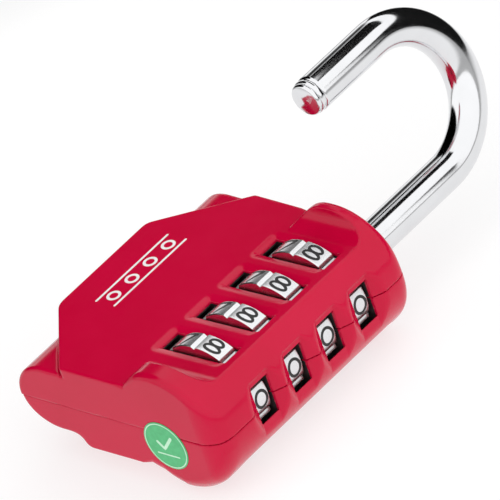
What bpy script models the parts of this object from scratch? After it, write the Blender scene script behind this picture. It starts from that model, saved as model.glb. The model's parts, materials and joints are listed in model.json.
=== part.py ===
"""A four-wheel combination padlock with its shackle lifted and swung open, as separate working pieces.

The lock lies on its back. In the lock's own frame X runs across the case towards the wheel barrel, Y runs
from the bottom end up to the shackle, and Z runs from the parting plane up to the front. The base empty
carries that frame, and puts the centre of the whole lock's footprint at the world's origin.
"""

import math

import bmesh
import bpy

MM = 0.001
GAP = 0.3 * MM

# Case
CASE_WIDTH = 42 * MM
CASE_HEIGHT = 45 * MM
BARREL_RADIUS = 11 * MM
BARREL_X = CASE_WIDTH - BARREL_RADIUS
BARREL_EDGE = 1.2 * MM
PLATEAU_Z = 7.7 * MM
PLATEAU_CORNER_X = 12 * MM
PLATEAU_CORNER_Y = 12.5 * MM
SHOULDER_RADIUS = 6 * MM
FIELD_INSET = 0.05 * MM
SCOOP_RADIUS = BARREL_RADIUS - PLATEAU_Z
RECESS_START_Y = 6.4 * MM
RECESS_END_Y = 39.6 * MM
PARTING_GAP = GAP
HOLLOW_X = (8.5 * MM, 21.4 * MM)
HOLLOW_Y = (8.5 * MM, 36.5 * MM)
HOLLOW_HALF_Z = 5.3 * MM
CORE_RADIUS = 6.7 * MM
CORE_Y = (5.3 * MM, 41.0 * MM)
CASE_FLOOR_Y = 3 * MM

# Dials
DIAL_COUNT = 4
DIAL_PITCH = 8 * MM
DIAL_FIRST_Y = 11.7 * MM
DIAL_WIDTH = 3.4 * MM
DIAL_RADIUS = 9.0 * MM
DIAL_CROWN = 0.12 * MM
DIAL_GROOVE_RADIUS = 8.35 * MM
DIAL_DIGITS = 10
PAD_HALF_DEG = 12
POCKET_RADIUS = 10.15 * MM
POCKET_WIDTH = DIAL_WIDTH + 2 * GAP
WINDOW_Z = (-3.3 * MM, 3.7 * MM)
SLEEVE_LENGTH = 3.6 * MM
SLEEVE_RADIUS = 5.2 * MM
SLEEVE_BORE = 3.4 * MM
KEY_RADIUS = 6.2 * MM
KEY_HALF_WIDTH = 0.8 * MM
KEY_DIRECTION_DEG = 180
GATE_RADIUS = 4.75 * MM
GATE_HALF_WIDTH = 1.25 * MM
SPACER_RADIUS = CORE_RADIUS - GAP

# Shackle
SHACKLE_RADIUS = 3 * MM
LEG_SPACING = 24.4 * MM
TOE_CLEARANCE = 6.5 * MM
ARCH_CENTRE_Y = CASE_HEIGHT + 22.4 * MM
SWING_DEG = 74.8
LEG_BOTTOM_Y = 14 * MM
FIN_LENGTH = 1.4 * MM
FIN_RADIUS = 4.4 * MM
FIN_HALF_WIDTH = 0.85 * MM
FIN_OFFSET_Y = 0.4 * MM
TOE_TIP_LENGTH = 0.9 * MM
TOE_TIP_SHRINK = 0.86
SPRING_BORE = 2 * MM
SPRING_BORE_DEPTH = 10 * MM
HOLE_RADIUS = SHACKLE_RADIUS + 0.4 * MM
TOE_HOLE_DEPTH = 7 * MM
BUSH_RADIUS = 4.6 * MM
BUSH_Y = (41.1 * MM, 43.5 * MM)

# Springs, pins and sticker
SPRING_RADIUS = 1.35 * MM
SPRING_WIRE = 0.25 * MM
SPRING_TURNS = 9
SPRING_POINTS_PER_TURN = 10
CAP_RADIUS = 1.7 * MM
CAP_STEM_RADIUS = 0.7 * MM
LEAF_X = 18.6 * MM
LEAF_THICKNESS = 0.4 * MM
LEAF_HALF_Z = 2.2 * MM
FINGER_REACH_X = BARREL_X - DIAL_RADIUS - GAP - 0.15 * MM
PIN_RADIUS = 1.2 * MM
PIN_LENGTH = 9 * MM
PIN_PLACES = (
    (13 * MM, 4.8 * MM),
    (13 * MM, 40.4 * MM),
    (37.2 * MM, 2.7 * MM),
    (37.9 * MM, 42.6 * MM),
)
STICKER_RADIUS = 4.3 * MM
STICKER_THICKNESS = 0.15 * MM
STICKER_LIFT = 0.05 * MM
STICKER_X = 30 * MM
STICKER_Z = -2.1 * MM

# The whole lock's box, which sets the frame
TOP_Y = ARCH_CENTRE_Y + LEG_SPACING / 2 + SHACKLE_RADIUS
LOW_Y = -STICKER_LIFT - STICKER_THICKNESS
BASE_PLACE = (-CASE_WIDTH / 2, -(TOP_Y + LOW_Y) / 2, BARREL_RADIUS)

# Turns of an object: a local Z axis laid along the lock's Y, and an outline in X and Z
ALONG_Y = (-math.pi / 2, 0, 0)
OUTLINE_XZ = (math.pi / 2, 0, 0)

MATERIALS = {
    "red_paint": ((0.60, 0.004, 0.03), 0.22, 0.0),
    "chrome": ((0.88, 0.88, 0.90), 0.08, 1.0),
    "zinc": ((0.55, 0.56, 0.58), 0.35, 1.0),
    "spring_steel": ((0.42, 0.43, 0.45), 0.30, 1.0),
    "brass": ((0.72, 0.52, 0.20), 0.28, 1.0),
    "green_sticker": ((0.10, 0.62, 0.26), 0.45, 0.0),
}


def clear_scene():
    for obj in list(bpy.data.objects):
        bpy.data.objects.remove(obj, do_unlink=True)


def new_collection(name):
    collection = bpy.data.collections.new(name)
    bpy.context.scene.collection.children.link(collection)
    return collection


def new_material(name):
    colour, roughness, metallic = MATERIALS[name]
    material = bpy.data.materials.new(name)
    material.use_nodes = True
    shader = material.node_tree.nodes["Principled BSDF"]
    shader.inputs["Base Color"].default_value = (*colour, 1)
    shader.inputs["Roughness"].default_value = roughness
    shader.inputs["Metallic"].default_value = metallic
    material.diffuse_color = (*colour, 1)
    return material


def new_empty(name, place, parent=None, turn=(0, 0, 0)):
    empty = bpy.data.objects.new(name, None)
    empty.location = place
    empty.rotation_euler = turn
    empty.parent = parent
    parts.objects.link(empty)
    return empty


def place_object(name, data, place, parent, turn=(0, 0, 0), material=None):
    """A part of the lock when it has a material, and a hidden cutter when it has none."""
    obj = bpy.data.objects.new(name, data)
    obj.location = place
    obj.rotation_euler = turn
    obj.parent = parent
    if material:
        data.materials.append(new_material(material))
        parts.objects.link(obj)
    else:
        obj.hide_render = True
        obj.display_type = "WIRE"
        cutters.objects.link(obj)
    return obj


def smooth(obj, sharp_deg=35):
    obj.data.shade_smooth()
    obj.data.set_sharp_from_angle(angle=math.radians(sharp_deg))


def box_mesh(name, low, high):
    mesh = bpy.data.meshes.new(name)
    shape = bmesh.new()
    bmesh.ops.create_cube(shape, size=1)
    bmesh.ops.scale(shape, verts=shape.verts, vec=[high[i] - low[i] for i in range(3)])
    bmesh.ops.translate(shape, verts=shape.verts, vec=[(high[i] + low[i]) / 2 for i in range(3)])
    shape.to_mesh(mesh)
    shape.free()
    return mesh


def box(name, low, high, parent, material=None):
    return place_object(name, box_mesh(name, low, high), (0, 0, 0), parent, material=material)


def rod_mesh(name, radius, length, segments=32):
    """A cylinder along local Z, centred on its origin."""
    mesh = bpy.data.meshes.new(name)
    shape = bmesh.new()
    bmesh.ops.create_cone(
        shape, cap_ends=True, segments=segments, radius1=radius, radius2=radius, depth=length
    )
    shape.to_mesh(mesh)
    shape.free()
    return mesh


def rod_y(name, radius, start_y, end_y, x, z, parent, material=None, segments=32):
    mesh = rod_mesh(name, radius, end_y - start_y, segments)
    place = (x, (start_y + end_y) / 2, z)
    obj = place_object(name, mesh, place, parent, ALONG_Y, material)
    smooth(obj)
    return obj


def turned(name, profile, place, parent, material=None, steps=48):
    """A solid turned about the lock's Y: profile lists (radius, y) from the top down, on the axis at both ends."""
    mesh = bpy.data.meshes.new(name)
    shape = bmesh.new()
    ring = [shape.verts.new((radius, 0, y)) for radius, y in profile]
    for first, second in zip(ring, ring[1:]):
        shape.edges.new((first, second))
    shape.to_mesh(mesh)
    shape.free()
    obj = place_object(name, mesh, place, parent, ALONG_Y, material)
    screw = obj.modifiers.new("turn", "SCREW")
    screw.axis = "Z"
    screw.steps = steps
    screw.render_steps = steps
    screw.use_merge_vertices = True
    screw.merge_threshold = 0.00001
    return obj


def arc(centre, radius, start_deg, end_deg, count):
    """Points along an arc, both ends included."""
    points = []
    for step in range(count + 1):
        angle = math.radians(start_deg + (end_deg - start_deg) * step / count)
        points.append((centre[0] + radius * math.cos(angle), centre[1] + radius * math.sin(angle)))
    return points


def notched_circle(radius, notch_radius=0, half_width=0, directions=(), step_deg=10):
    """A circle with square notches, cut inwards or standing outwards, at the given directions."""
    if not directions:
        return arc((0, 0), radius, 0, 360, round(360 / step_deg))[:-1]
    near = math.degrees(math.asin(half_width / radius))
    far = math.degrees(math.asin(half_width / notch_radius))
    points = []
    turns = sorted(direction % 360 for direction in directions)
    for turn, following in zip(turns, turns[1:] + [turns[0] + 360]):
        points += arc((0, 0), notch_radius, turn - far, turn + far, 2)
        span = following - near - (turn + near)
        points += arc((0, 0), radius, turn + near, following - near, max(2, round(span / step_deg)))
    return points


def dial_outline():
    """The rim of a dial: ten slightly crowned pads with V grooves between them, pad 0 facing +X."""
    points = []
    pad_deg = 360 / DIAL_DIGITS
    for digit in range(DIAL_DIGITS):
        middle = digit * pad_deg
        for share in (-1, -0.5, 0, 0.5, 1):
            angle = math.radians(middle + share * PAD_HALF_DEG)
            radius = DIAL_RADIUS - DIAL_CROWN * share * share
            points.append((radius * math.cos(angle), radius * math.sin(angle)))
        groove = math.radians(middle + pad_deg / 2)
        points.append((DIAL_GROOVE_RADIUS * math.cos(groove), DIAL_GROOVE_RADIUS * math.sin(groove)))
    return points


def extruded(name, outlines, length, place, parent, turn, material=None):
    """Flat outlines, the later ones being holes in the first, extruded to the given length as a mesh."""
    curve = bpy.data.curves.new(name, "CURVE")
    curve.dimensions = "2D"
    curve.fill_mode = "BOTH"
    curve.extrude = length / 2
    for outline in outlines:
        spline = curve.splines.new("POLY")
        spline.points.add(len(outline) - 1)
        for point, (x, y) in zip(spline.points, outline):
            point.co = (x, y, 0, 1)
        spline.use_cyclic_u = True
    return curve_as_mesh(name, curve, place, parent, turn, material)


def curve_as_mesh(name, curve, place, parent, turn=(0, 0, 0), material=None):
    """The solid of a curve as a mesh object, with its caps welded to its sides."""
    drawn = bpy.data.objects.new(name + "_curve", curve)
    bpy.context.scene.collection.objects.link(drawn)
    graph = bpy.context.evaluated_depsgraph_get()
    mesh = bpy.data.meshes.new_from_object(drawn.evaluated_get(graph))
    bpy.data.objects.remove(drawn, do_unlink=True)
    mesh.name = name
    shape = bmesh.new()
    shape.from_mesh(mesh)
    bmesh.ops.remove_doubles(shape, verts=shape.verts, dist=0.000001)
    bmesh.ops.recalc_face_normals(shape, faces=shape.faces)
    shape.to_mesh(mesh)
    shape.free()
    mesh.materials.clear()
    obj = place_object(name, mesh, place, parent, turn, material)
    smooth(obj)
    return obj


def boolean(obj, other, operation):
    modifier = obj.modifiers.new(f"{operation.lower()}_{other.name}", "BOOLEAN")
    modifier.operation = operation
    modifier.object = other
    modifier.solver = "EXACT"


def wire_along(name, points, radius, parent, material=None, resolution=2, tip_scales=()):
    """A round bar along the points; tip_scales thins its last points, one scale each."""
    curve = bpy.data.curves.new(name, "CURVE")
    curve.dimensions = "3D"
    curve.bevel_depth = radius
    curve.bevel_resolution = resolution
    curve.use_fill_caps = True
    spline = curve.splines.new("POLY")
    spline.points.add(len(points) - 1)
    for point, place in zip(spline.points, points):
        point.co = (*place, 1)
    for index, scale in enumerate(tip_scales):
        spline.points[len(points) - len(tip_scales) + index].radius = scale
    return curve_as_mesh(name, curve, (0, 0, 0), parent, material=material)


def dial_y(index):
    return DIAL_FIRST_Y + index * DIAL_PITCH


def plateau_outline():
    """The raised hexagonal field, which the barrel hides on its right."""
    hidden_x = BARREL_X + 1 * MM
    return [
        (hidden_x, FIELD_INSET),
        (hidden_x, CASE_HEIGHT - FIELD_INSET),
        (PLATEAU_CORNER_X, CASE_HEIGHT - FIELD_INSET),
        (0, CASE_HEIGHT - PLATEAU_CORNER_Y),
        (0, PLATEAU_CORNER_Y),
        (PLATEAU_CORNER_X, FIELD_INSET),
    ]


def recess_outline(side):
    """The dial recess in Y and Z: a flat floor with a quarter-round scoop at each end."""
    over = BARREL_RADIUS + 1 * MM
    centre_z = BARREL_RADIUS
    low = arc((RECESS_START_Y, centre_z), SCOOP_RADIUS, 180, 270, 6)
    high = arc((RECESS_END_Y, centre_z), SCOOP_RADIUS, 270, 360, 6)
    points = [(low[0][0], over), *low, *high, (high[-1][0], over)]
    return [(y, side * z) for y, z in points]


def case_blank(base):
    """The case's outer form as one solid, before it is parted and hollowed."""
    edge = BARREL_EDGE
    top = arc((BARREL_RADIUS - edge, CASE_HEIGHT - edge), edge, 90, 0, 3)
    bottom = arc((BARREL_RADIUS - edge, edge), edge, 0, -90, 3)
    profile = [(0, CASE_HEIGHT), *top, *bottom, (0, 0)]
    blank = turned("case_blank", profile, (BARREL_X, 0, 0), base)
    plateau = extruded(
        "plateau_field", [plateau_outline()], 2 * PLATEAU_Z, (0, 0, 0), base, (0, 0, 0)
    )
    low_z = SHOULDER_RADIUS
    shoulder_round = arc((SHOULDER_RADIUS, 0), low_z, 90, 270, 14)
    shoulder = extruded(
        "shoulder_field",
        [[(BARREL_X, low_z), *shoulder_round, (BARREL_X, -low_z)]],
        CASE_HEIGHT - 4 * FIELD_INSET,
        (0, CASE_HEIGHT / 2, 0),
        base,
        OUTLINE_XZ,
    )
    boolean(blank, plateau, "UNION")
    boolean(blank, shoulder, "UNION")
    for side, label in ((1, "front"), (-1, "back")):
        recess = extruded(
            f"{label}_recess",
            [recess_outline(side)],
            CASE_WIDTH,
            (CASE_WIDTH, 0, 0),
            base,
            (math.pi / 2, 0, math.pi / 2),
        )
        boolean(blank, recess, "DIFFERENCE")
    return blank


def case_cutters(base):
    """Everything that is hollowed out of both half cases."""
    found = []
    hollow_low = (HOLLOW_X[0], HOLLOW_Y[0], -HOLLOW_HALF_Z)
    hollow_high = (HOLLOW_X[1], HOLLOW_Y[1], HOLLOW_HALF_Z)
    found.append(box("side_hollow", hollow_low, hollow_high, base))
    found.append(rod_y("core_bore", CORE_RADIUS, *CORE_Y, BARREL_X, 0, base, segments=40))
    found.append(
        rod_y("spring_seat", HOLE_RADIUS, CASE_FLOOR_Y, CORE_Y[0] + MM, BARREL_X, 0, base)
    )
    leg_top = CASE_HEIGHT + 2 * MM
    found.append(rod_y("leg_hole", HOLE_RADIUS, CORE_Y[1] - MM, leg_top, BARREL_X, 0, base))
    bush_seat = (CORE_Y[1] - MM, BUSH_Y[1] + GAP)
    found.append(rod_y("bush_seat", BUSH_RADIUS + GAP, *bush_seat, BARREL_X, 0, base))
    toe_x = BARREL_X - LEG_SPACING
    toe_y = (CASE_HEIGHT - TOE_HOLE_DEPTH, CASE_HEIGHT + MM)
    found.append(rod_y("toe_hole", HOLE_RADIUS, *toe_y, toe_x, 0, base))
    for index in range(DIAL_COUNT):
        low_y = dial_y(index) - POCKET_WIDTH / 2
        high_y = dial_y(index) + POCKET_WIDTH / 2
        pocket = f"dial_pocket_{index + 1}"
        found.append(rod_y(pocket, POCKET_RADIUS, low_y, high_y, BARREL_X, 0, base, segments=56))
        window_low = (CASE_WIDTH - 3 * MM, low_y, WINDOW_Z[0])
        window_high = (CASE_WIDTH + MM, high_y, WINDOW_Z[1])
        found.append(box(f"side_window_{index + 1}", window_low, window_high, base))
    for index, (x, y) in enumerate(PIN_PLACES):
        mesh = rod_mesh(f"pin_hole_{index + 1}", PIN_RADIUS + GAP, PIN_LENGTH + 2 * GAP, 20)
        found.append(place_object(f"pin_hole_{index + 1}", mesh, (x, y, 0), base))
    return found


def make_shells(base):
    blank = case_blank(base)
    hollows = case_cutters(base)
    reach = BARREL_RADIUS + 2 * MM
    for side, name in ((1, "front_shell"), (-1, "back_shell")):
        near, far = side * PARTING_GAP / 2, side * reach
        low = (-2 * MM, -2 * MM, min(near, far))
        high = (CASE_WIDTH + 2 * MM, CASE_HEIGHT + 2 * MM, max(near, far))
        shell = box(name, low, high, base, "red_paint")
        boolean(shell, blank, "INTERSECT")
        for cutter in hollows:
            boolean(shell, cutter, "DIFFERENCE")


def make_dials(base):
    """Each dial is a numbered ring on a gated sleeve, and both turn about the barrel's axis."""
    rim = dial_outline()
    key = (KEY_DIRECTION_DEG,)
    ring_bore = notched_circle(SLEEVE_RADIUS + GAP, KEY_RADIUS + GAP, KEY_HALF_WIDTH + GAP, key)
    sleeve_rim = notched_circle(SLEEVE_RADIUS, KEY_RADIUS, KEY_HALF_WIDTH, key)
    gates = (0, -SWING_DEG)
    sleeve_bore = notched_circle(SLEEVE_BORE, GATE_RADIUS, GATE_HALF_WIDTH, gates)
    for index in range(DIAL_COUNT):
        axis = new_empty(f"dial_axis_{index + 1}", (BARREL_X, dial_y(index), 0), base)
        name = f"dial_wheel_{index + 1}"
        extruded(name, [rim, ring_bore], DIAL_WIDTH, (0, 0, 0), axis, OUTLINE_XZ, "chrome")
        name = f"dial_sleeve_{index + 1}"
        outlines = [sleeve_rim, sleeve_bore]
        extruded(name, outlines, SLEEVE_LENGTH, (0, 0, 0), axis, OUTLINE_XZ, "zinc")


def make_rings(base):
    """The spacers between the dials, the washer under them and the bush above them."""
    between = DIAL_PITCH - DIAL_WIDTH - 2 * GAP
    spacer = [notched_circle(SPACER_RADIUS), notched_circle(SLEEVE_RADIUS + GAP)]
    for index in range(DIAL_COUNT - 1):
        place = (BARREL_X, dial_y(index) + DIAL_PITCH / 2, 0)
        name = f"dial_spacer_{index + 1}"
        extruded(name, spacer, between, place, base, OUTLINE_XZ, "brass")
    washer_length = 1.1 * MM
    washer_top = DIAL_FIRST_Y - SLEEVE_LENGTH / 2 - GAP
    washer_place = (BARREL_X, washer_top - washer_length / 2, 0)
    washer = [notched_circle(SPACER_RADIUS), notched_circle(GATE_RADIUS)]
    extruded("end_washer", washer, washer_length, washer_place, base, OUTLINE_XZ, "brass")
    bush_place = (BARREL_X, sum(BUSH_Y) / 2, 0)
    bush = [notched_circle(BUSH_RADIUS), notched_circle(HOLE_RADIUS)]
    bush_length = BUSH_Y[1] - BUSH_Y[0]
    extruded("leg_bush", bush, bush_length, bush_place, base, OUTLINE_XZ, "brass")


def shackle_path():
    """The centre line of the closed shackle from the foot of the long leg to the toe."""
    arch_radius = LEG_SPACING / 2
    points = [(0, LEG_BOTTOM_Y, 0), (0, CASE_HEIGHT, 0)]
    for x, y in arc((-arch_radius, ARCH_CENTRE_Y), arch_radius, 0, 180, 20):
        points.append((x, y, 0))
    toe_y = CASE_HEIGHT + TOE_CLEARANCE
    points.append((-LEG_SPACING, toe_y + TOE_TIP_LENGTH, 0))
    points.append((-LEG_SPACING, toe_y + TOE_TIP_LENGTH * 0.9, 0))
    points.append((-LEG_SPACING, toe_y, 0))
    return points


def make_shackle(base):
    """The bent bar, the four fins that the sleeves stop, and the bore that holds the lift spring."""
    swing = (0, math.radians(SWING_DEG), 0)
    axis = new_empty("shackle_axis", (BARREL_X, 0, 0), base, swing)
    tips = (1, TOE_TIP_SHRINK, TOE_TIP_SHRINK)
    shackle = wire_along(
        "shackle", shackle_path(), SHACKLE_RADIUS, axis, "chrome", resolution=5, tip_scales=tips
    )
    for index in range(DIAL_COUNT):
        middle = dial_y(index) + DIAL_PITCH / 2 + FIN_OFFSET_Y
        low = (1.5 * MM, middle - FIN_LENGTH / 2, -FIN_HALF_WIDTH)
        high = (FIN_RADIUS, middle + FIN_LENGTH / 2, FIN_HALF_WIDTH)
        fin = box(f"fin_{index + 1}", low, high, axis)
        if low[1] < LEG_BOTTOM_Y + SPRING_BORE_DEPTH:
            clear = (SPRING_BORE + 0.2 * MM, low[1], low[2])
            fin.data = box_mesh(fin.name, clear, high)
        boolean(shackle, fin, "UNION")
    bore_y = (LEG_BOTTOM_Y - MM, LEG_BOTTOM_Y + SPRING_BORE_DEPTH)
    bore = rod_y("spring_bore", SPRING_BORE, *bore_y, 0, 0, axis, segments=20)
    boolean(shackle, bore, "DIFFERENCE")


def make_lift_spring(base):
    """The spring stands in the case floor and reaches up inside the long leg to its cap."""
    bore_top = LEG_BOTTOM_Y + SPRING_BORE_DEPTH
    disc = (bore_top - GAP - MM, bore_top - GAP)
    stem_y = disc[0] - 3 * MM
    profile = [
        (0, disc[1]),
        (CAP_RADIUS, disc[1]),
        (CAP_RADIUS, disc[0]),
        (CAP_STEM_RADIUS, disc[0]),
        (CAP_STEM_RADIUS, stem_y),
        (0, stem_y),
    ]
    turned("spring_cap", profile, (BARREL_X, 0, 0), base, "brass", steps=20)
    low = CASE_FLOOR_Y + GAP + SPRING_WIRE
    high = disc[0] - GAP - SPRING_WIRE
    count = SPRING_TURNS * SPRING_POINTS_PER_TURN
    points = []
    for step in range(count + 1):
        angle = 2 * math.pi * step / SPRING_POINTS_PER_TURN
        x = BARREL_X + SPRING_RADIUS * math.cos(angle)
        z = SPRING_RADIUS * math.sin(angle)
        points.append((x, low + (high - low) * step / count, z))
    wire_along("lift_spring", points, SPRING_WIRE, base, "spring_steel", resolution=1)


def make_detent_spring(base):
    """A leaf with one bent finger for each dial, reaching to just clear of the rims."""
    start_y = HOLLOW_Y[0] + GAP
    end_y = HOLLOW_Y[1] - GAP
    leaf = [(LEAF_X, start_y), (LEAF_X, end_y), (LEAF_X + LEAF_THICKNESS, end_y)]
    for index in reversed(range(DIAL_COUNT)):
        middle = dial_y(index)
        tip = min(middle + 0.5 * MM, end_y - 1.2 * MM)
        leaf += [
            (LEAF_X + LEAF_THICKNESS, tip + MM),
            (FINGER_REACH_X, tip),
            (FINGER_REACH_X, tip - MM),
            (LEAF_X + LEAF_THICKNESS, tip - 2 * MM),
        ]
    leaf.append((LEAF_X + LEAF_THICKNESS, start_y))
    leaf.reverse()
    extruded(
        "detent_spring", [leaf], 2 * LEAF_HALF_Z, (0, 0, 0), base, (0, 0, 0), "spring_steel"
    )


def make_pins(base):
    for index, (x, y) in enumerate(PIN_PLACES):
        name = f"case_pin_{index + 1}"
        pin = place_object(
            name, rod_mesh(name, PIN_RADIUS, PIN_LENGTH, 20), (x, y, 0), base, material="zinc"
        )
        smooth(pin)


def make_sticker(base):
    high_y = -STICKER_LIFT
    low_y = high_y - STICKER_THICKNESS
    name = "quality_sticker"
    rod_y(name, STICKER_RADIUS, low_y, high_y, STICKER_X, STICKER_Z, base, "green_sticker", 40)


clear_scene()
parts = new_collection("combination_padlock")
cutters = new_collection("cutters")
lock_base = new_empty("lock_base", BASE_PLACE)
make_shells(lock_base)
make_dials(lock_base)
make_rings(lock_base)
make_shackle(lock_base)
make_lift_spring(lock_base)
make_detent_spring(lock_base)
make_pins(lock_base)
make_sticker(lock_base)
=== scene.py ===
"""The looks of the four-wheel combination padlock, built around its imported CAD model.

Shapes are written in the lock's own frame, in millimetres: X runs across the case towards the wheel barrel,
Y from the bottom end up to the shackle, and Z from the parting plane up to the front. to_world() places them.
The two case halves are drawn as the zero surface of a signed distance field, which rounds every edge.
"""

import json
import math

import bmesh
import bpy
import numpy as np
from mathutils import Matrix, Vector


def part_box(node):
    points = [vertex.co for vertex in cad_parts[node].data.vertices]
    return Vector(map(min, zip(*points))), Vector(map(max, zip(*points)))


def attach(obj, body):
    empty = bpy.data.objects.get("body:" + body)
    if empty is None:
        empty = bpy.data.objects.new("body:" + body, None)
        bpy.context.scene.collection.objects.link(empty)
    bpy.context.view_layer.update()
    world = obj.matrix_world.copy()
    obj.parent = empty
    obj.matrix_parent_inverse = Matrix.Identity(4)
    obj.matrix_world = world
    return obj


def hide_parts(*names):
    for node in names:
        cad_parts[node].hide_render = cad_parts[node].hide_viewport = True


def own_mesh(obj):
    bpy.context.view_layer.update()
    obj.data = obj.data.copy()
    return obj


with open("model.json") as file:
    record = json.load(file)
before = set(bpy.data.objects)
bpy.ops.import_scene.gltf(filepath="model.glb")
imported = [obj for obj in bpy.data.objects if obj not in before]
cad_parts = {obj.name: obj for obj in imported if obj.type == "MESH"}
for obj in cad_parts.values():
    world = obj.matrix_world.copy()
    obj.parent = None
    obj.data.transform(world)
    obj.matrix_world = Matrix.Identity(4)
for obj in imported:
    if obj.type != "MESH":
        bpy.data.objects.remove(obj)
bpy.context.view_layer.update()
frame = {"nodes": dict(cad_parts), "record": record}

MM = 0.001

# Case
CASE_WIDTH = 42
CASE_HEIGHT = 45
BARREL_X = 31
BARREL_RADIUS = 11
FRONT = {
    "side": 1,
    "plateau": 7.7,
    "shoulder": 6.4,
    "plateau_edge": 0.25,
    "grooved": True,
    "inset": 0.0,
    "end_edges": (1.05, 1.3),
}
BACK = {
    "side": -1,
    "plateau": 7.45,
    "shoulder": 5.35,
    "plateau_edge": 1.0,
    "grooved": False,
    "inset": 0.2,
    "end_edges": (3.3, 2.0),
}
BACK_BLEND = 2.5
SHOULDER_REACH = 7.0
SHOULDER_EDGE = 0.6
SHOULDER_GROOVE = 0.15
GROOVE_DEPTH = 0.4
FIELD_SLANTS = (((11.4, 0), (0, 13)), ((0, 34.3), (12.4, 45)))
FIELD_CORNER = 0.8
LOW_END = {"at_x0": 0.2, "slope": -0.0222}
HIGH_END = {"at_x0": 46.2, "slope": -0.0387}
SHOULDER_EDGE_X = (10, 11.5)
BARREL_EDGE_X = (23, 27)
EDGE_DEPTH = (2, 9)
SHOULDER_END_EDGE = 0.65
PLATEAU_END_EDGE = 0.35
PLAN_CORNERS = {"bottom_right": 5.5, "top_right": 3.2, "top_left": 3.0, "bottom_left": 1.6}
PLAN_OVERREACH = 1.05
RECESS_Y = (6.4, 39.6)
RECESS_EDGE = 0.25
RAMP_X = 24.7
RAMP_LIFT = 0.1
RAMP_BLEND = 1.2
PARTING_HALF_GAP = 0.06
PARTING_EDGE = 0.12
PAINT_REACH = 0.5
GRID_X = ((-0.8, 23.4, 0.275), (23.4, 42.9, 0.2))
GRID_Y = ((-1.3, 46.88, 0.22),)
GRID_Z = ((-0.34, 11.66, 0.2),)

# Openings in the case
DIAL_COUNT = 4
DIAL_PITCH = 8
DIAL_FIRST_Y = 11.7
POCKET_RADIUS = 10.15
POCKET_HALF_WIDTH = 2.0
SLOT_X = (24.0, 37.25)
SLOT_EDGE = 0.15
SLOT_DEPTH_Z = 6.6
DISH_X = (24.0, 36.05)
DISH_DEPTH = 0.32
DISH_REACH = 1.5
DISH_FALL = 1.8
CHANNEL_X = 40.8
CHANNEL_SPREAD = 1.7
CHANNEL_LEAN = 0.86
CHANNEL_Z = (-6.5, 4.5)
CHANNEL_EDGE = 0.3
WINDOW_Z = (-3.1, 3.5)
WINDOW_X = 38
HOLLOW_LOW = (8.5, 8.5, -5.3)
HOLLOW_HIGH = (21.4, 36.5, 5.3)
CORE_RADIUS = 6.7
CORE_Y = (5.3, 41.0)
SPRING_SEAT_Y = 3
HOLE_RADIUS = 3.4
TOE_HOLE_DEPTH = 7
BUSH_SEAT_RADIUS = 4.9
BUSH_TOP_Y = 43.8
PIN_PLACES = ((13, 4.8), (13, 40.4), (37.2, 2.7), (37.9, 42.6))
PIN_HOLE_RADIUS = 1.5
PIN_HOLE_HALF_LENGTH = 4.8

# Dials
DIGIT_COUNT = 10
DIAL_RADIUS = 9.05
DIAL_CROWN = 0.05
DIAL_HALF_WIDTH = 1.7
DIAL_CHAMFER = 0.16
GROOVE_RADIUS = 8.6
PAD_HALF_DEG = 14.5
PAD_STEP_DEG = 36
PAD_OFFSETS_DEG = (-14.5, -14, -11, -7.5, -3.5, 0, 3.5, 7.5, 11, 14, 14.5, 16.2, 17.7, 18, 18.3, 19.8)
RING_BORE = 5.5
KEY_RADIUS = 6.5
KEY_HALF_WIDTH = 1.1
DIGIT_HALF_WIDTH = 1.38
DIGIT_HALF_HEIGHT = 1.2
DIGIT_STROKE = 0.24
DIGIT_RAISE = 0.02
PRINT_DEPTH = 0.06

# Shackle
SHACKLE_RADIUS = 3.0
ARCH_RADIUS = 12.2
ARCH_CENTRE_Y = 67.4
SWING = math.radians(74.8)
LEG_BOTTOM_Y = 14
SPRING_BORE = 2.0
SPRING_BORE_TOP = 24
TOE_Y = 51.5
TOE_PROFILE = (
    (1.95, 3.0),
    (1.87, 2.93),
    (1.80, 2.84),
    (1.72, 2.84),
    (1.65, 2.9),
    (0.95, 2.9),
    (0.85, 2.84),
    (0.78, 2.72),
    (0.70, 2.72),
    (0.62, 2.78),
    (0.30, 2.74),
    (0.10, 2.62),
    (0.0, 2.42),
    (0.0, 0.02),
)
RIM = 0.35
BORE_RIM = 0.2
BEND_STEPS = 72
FIN_REACH = 4.4
FIN_INNER = (2.2, 1.5)
FIN_HALF_WIDTH = 0.85
FIN_HALF_LENGTH = 0.7
FIN_OFFSET_Y = 4.4

# Lift spring
SPRING_RADIUS = 1.35
SPRING_WIRE = 0.25
SPRING_TURNS = 9
SPRING_ENDS = (3.55, 22.15)

# Sticker on the bottom end
STICKER_PLACE = (30.1, -2.1)
STICKER_RADIUS = 4.3
STICKER_THICKNESS = 0.14
STICKER_SINK = 0.02
STICKER_RING_RADIUS = 4.02
STICKER_TICK = [(-1.5, 0.5), (-0.4, -0.6), (1.6, 1.7)]
STICKER_LINE = [(-2.2, -1.7), (2.2, -1.7)]

# Front print: rings between two lines
PRINT_PLACE = (7.7, 24.2)
PRINT_LINE = {"x": 1.9, "half_length": 8.6, "half_width": 0.2}
PRINT_RING = {"count": 4, "pitch": 4.4, "radius": 0.95, "half_width": 0.24}

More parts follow.
